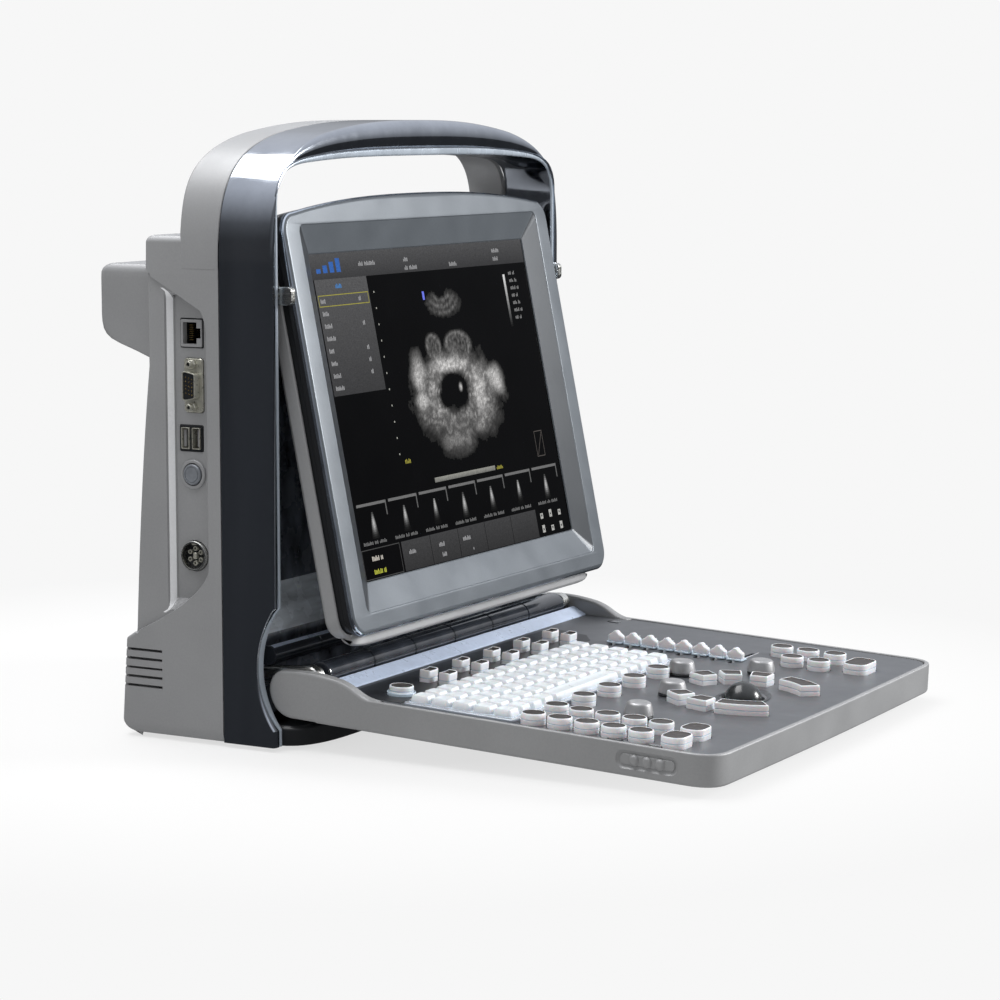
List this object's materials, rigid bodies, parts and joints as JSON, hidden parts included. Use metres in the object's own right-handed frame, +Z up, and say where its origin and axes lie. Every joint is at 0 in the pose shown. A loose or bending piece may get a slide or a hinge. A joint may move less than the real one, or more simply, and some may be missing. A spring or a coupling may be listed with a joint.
{
  "type": "ultrasound scanner",
  "caption": "Upright portable ultrasound unit with a carry handle, a tilting screen, side ports and a fold-down control panel with keys, knobs, sliders and a trackball.",
  "frame": {"origin": "centre of the flat underside of the base plinth, flush with the four rubber feet", "axes": "+X to the user's right, +Y to the back of the case, +Z up; the control panel points along -Y"},
  "size_m": [0.333, 0.3907, 0.3465],
  "materials": {
    "gunmetal_chrome": "polished, dark tinted",
    "silver_plastic": "satin silver-grey paint",
    "panel_grey_plastic": "fine satin",
    "deck_grey": "satin, faint reflections",
    "black_plastic": "fine texture",
    "dark_gloss": "gloss",
    "metal_can": "satin sheet",
    "bezel_paint": "blue-grey metallic",
    "screen_glass": "gloss black display",
    "bright_trim": "polished",
    "knob_metal": "satin turned",
    "steel": "plated",
    "key_white": "translucent white, brown-black tops on some keys",
    "trackball_black": "polished ball in a satin ring",
    "rubber": "matte",
    "circuit_board": "solder mask green"
  },
  "bodies": {
    "main_unit": {"front_frame": "gunmetal_chrome", "rear_shell": "silver_plastic", "base_tray": "black_plastic", "well_panel": "dark_gloss", "hinge_cover_tube": "dark_gloss", "hinge_bracket_left": "steel", "hinge_bracket_right": "steel", "foot_front_left": "rubber", "foot_front_right": "rubber", "foot_rear_left": "rubber", "foot_rear_right": "rubber", "port_panel": "silver_plastic", "lan_socket": "steel", "vga_socket": "steel", "usb_socket": "steel", "power_inlet": "steel", "probe_panel": "silver_plastic", "probe_socket_upper": "black_plastic", "probe_socket_lower": "black_plastic", "battery_cover": "silver_plastic", "battery_pack": "black_plastic", "main_board": "circuit_board", "power_supply": "metal_can", "fan_housing": "black_plastic"},
    "power_button": {"power_button": "silver_plastic"},
    "fan_rotor": {"fan_rotor": "black_plastic"},
    "screen_arms": {"screen_arm_left": "steel", "screen_arm_right": "steel"},
    "screen": {"screen_bezel": "bezel_paint", "lcd_panel": "screen_glass", "screen_rear_cover": "silver_plastic"},
    "control_panel": {"panel_case": "panel_grey_plastic", "deck_plate": "deck_grey", "deck_strip": "bright_trim", "hinge_barrel": "dark_gloss", "key_tray": "bright_trim", "panel_board": "circuit_board", "trackball_ring": "trackball_black"},
    "trackball": {"trackball": "trackball_black"},
    "panel_latch": {"panel_latch": "panel_grey_plastic"},
    "qwerty_keys": {"qwerty_keys": "key_white"},
    "function_keys": {"function_keys": "key_white"},
    "left_keys": {"left_keys": "key_white"},
    "right_keys": {"right_keys": "key_white"},
    "ring_keys": {"ring_keys": "key_white"},
    "set_key": {"set_key": "key_white"},
    "freeze_key": {"freeze_key": "key_white"},
    "standby_key": {"standby_key": "key_white"},
    "control_knob_1": {"control_knob_1": "knob_metal"},
    "control_knob_2": {"control_knob_2": "knob_metal"},
    "control_knob_3": {"control_knob_3": "knob_metal"},
    "control_knob_4": {"control_knob_4": "knob_metal"},
    "gain_slider_1": {"gain_slider_1": "key_white"},
    "gain_slider_2": {"gain_slider_2": "key_white"},
    "gain_slider_3": {"gain_slider_3": "key_white"},
    "gain_slider_4": {"gain_slider_4": "key_white"},
    "gain_slider_5": {"gain_slider_5": "key_white"},
    "gain_slider_6": {"gain_slider_6": "key_white"},
    "gain_slider_7": {"gain_slider_7": "key_white"},
    "gain_slider_8": {"gain_slider_8": "key_white"}
  },
  "joints": [
    {"name": "panel_fold", "type": "hinge", "parent": "main_unit", "child": "control_panel", "pos_m": [0, -0.062, 0.0405], "axis": [-1, 0, 0], "range_deg": [0, 92.67]},
    {"name": "screen_stow", "type": "hinge", "parent": "main_unit", "child": "screen_arms", "pos_m": [0, -0.047, 0.2515], "axis": [1, 0, 0], "range_deg": [0, 11.45]},
    {"name": "screen_tilt", "type": "hinge", "parent": "screen_arms", "child": "screen", "pos_m": [0, -0.053, 0.2515], "axis": [1, 0, 0], "range_deg": [-13.5, 0]},
    {"name": "power_button_press", "type": "slide", "parent": "main_unit", "child": "power_button", "axis": [1, 0, 0], "range_m": [0, 0.002]},
    {"name": "fan_spin", "type": "hinge", "parent": "main_unit", "child": "fan_rotor", "pos_m": [0.102, 0.019, 0.0445], "axis": [0, 1, 0], "continuous": true},
    {"name": "trackball_roll", "type": "hinge", "parent": "control_panel", "child": "trackball", "pos_m": [-0.013, -0.26268, 0.02308], "axis": [1, 0, 0], "continuous": true},
    {"name": "panel_latch_slide", "type": "slide", "parent": "control_panel", "child": "panel_latch", "axis": [0, 0.9989, 0.0466], "range_m": [0, 0.0025]},
    {"name": "qwerty_keys_press", "type": "slide", "parent": "control_panel", "child": "qwerty_keys", "axis": [0, 0.0466, -0.9989], "range_m": [0, 0.0012]},
    {"name": "function_keys_press", "type": "slide", "parent": "control_panel", "child": "function_keys", "axis": [0, 0.0466, -0.9989], "range_m": [0, 0.0012]},
    {"name": "left_keys_press", "type": "slide", "parent": "control_panel", "child": "left_keys", "axis": [0, 0.0466, -0.9989], "range_m": [0, 0.0012]},
    {"name": "right_keys_press", "type": "slide", "parent": "control_panel", "child": "right_keys", "axis": [0, 0.0466, -0.9989], "range_m": [0, 0.0012]},
    {"name": "ring_keys_press", "type": "slide", "parent": "control_panel", "child": "ring_keys", "axis": [0, 0.0466, -0.9989], "range_m": [0, 0.0012]},
    {"name": "set_key_press", "type": "slide", "parent": "control_panel", "child": "set_key", "axis": [0, 0.0466, -0.9989], "range_m": [0, 0.0012]},
    {"name": "freeze_key_press", "type": "slide", "parent": "control_panel", "child": "freeze_key", "axis": [0, 0.0466, -0.9989], "range_m": [0, 0.0012]},
    {"name": "standby_key_press", "type": "slide", "parent": "control_panel", "child": "standby_key", "axis": [0, 0.0466, -0.9989], "range_m": [0, 0.0012]},
    {"name": "control_knob_1_turn", "type": "hinge", "parent": "control_panel", "child": "control_knob_1", "pos_m": [0.02, -0.20906, 0.03259], "axis": [0, -0.0466, 0.9989], "continuous": true},
    {"name": "control_knob_2_turn", "type": "hinge", "parent": "control_panel", "child": "control_knob_2", "pos_m": [-0.034, -0.22904, 0.03166], "axis": [0, -0.0466, 0.9989], "continuous": true},
    {"name": "control_knob_3_turn", "type": "hinge", "parent": "control_panel", "child": "control_knob_3", "pos_m": [-0.097, -0.23903, 0.03119], "axis": [0, -0.0466, 0.9989], "continuous": true},
    {"name": "control_knob_4_turn", "type": "hinge", "parent": "control_panel", "child": "control_knob_4", "pos_m": [0.052, -0.24502, 0.03091], "axis": [0, -0.0466, 0.9989], "continuous": true},
    {"name": "gain_slider_1_slide", "type": "slide", "parent": "control_panel", "child": "gain_slider_1", "axis": [1, 0, 0], "range_m": [-0.0055, 0.0215]},
    {"name": "gain_slider_2_slide", "type": "slide", "parent": "control_panel", "child": "gain_slider_2", "axis": [1, 0, 0], "range_m": [-0.0055, 0.0215]},
    {"name": "gain_slider_3_slide", "type": "slide", "parent": "control_panel", "child": "gain_slider_3", "axis": [1, 0, 0], "range_m": [-0.0055, 0.0215]},
    {"name": "gain_slider_4_slide", "type": "slide", "parent": "control_panel", "child": "gain_slider_4", "axis": [1, 0, 0], "range_m": [-0.0055, 0.0215]},
    {"name": "gain_slider_5_slide", "type": "slide", "parent": "control_panel", "child": "gain_slider_5", "axis": [1, 0, 0], "range_m": [-0.0055, 0.0215]},
    {"name": "gain_slider_6_slide", "type": "slide", "parent": "control_panel", "child": "gain_slider_6", "axis": [1, 0, 0], "range_m": [-0.0055, 0.0215]},
    {"name": "gain_slider_7_slide", "type": "slide", "parent": "control_panel", "child": "gain_slider_7", "axis": [1, 0, 0], "range_m": [-0.0055, 0.0215]},
    {"name": "gain_slider_8_slide", "type": "slide", "parent": "control_panel", "child": "gain_slider_8", "axis": [1, 0, 0], "range_m": [-0.0055, 0.0215]}
  ],
  "couplings": [
    {"joint": "screen_stow", "follows": "panel_fold", "ratio": 0.1235}
  ]
}
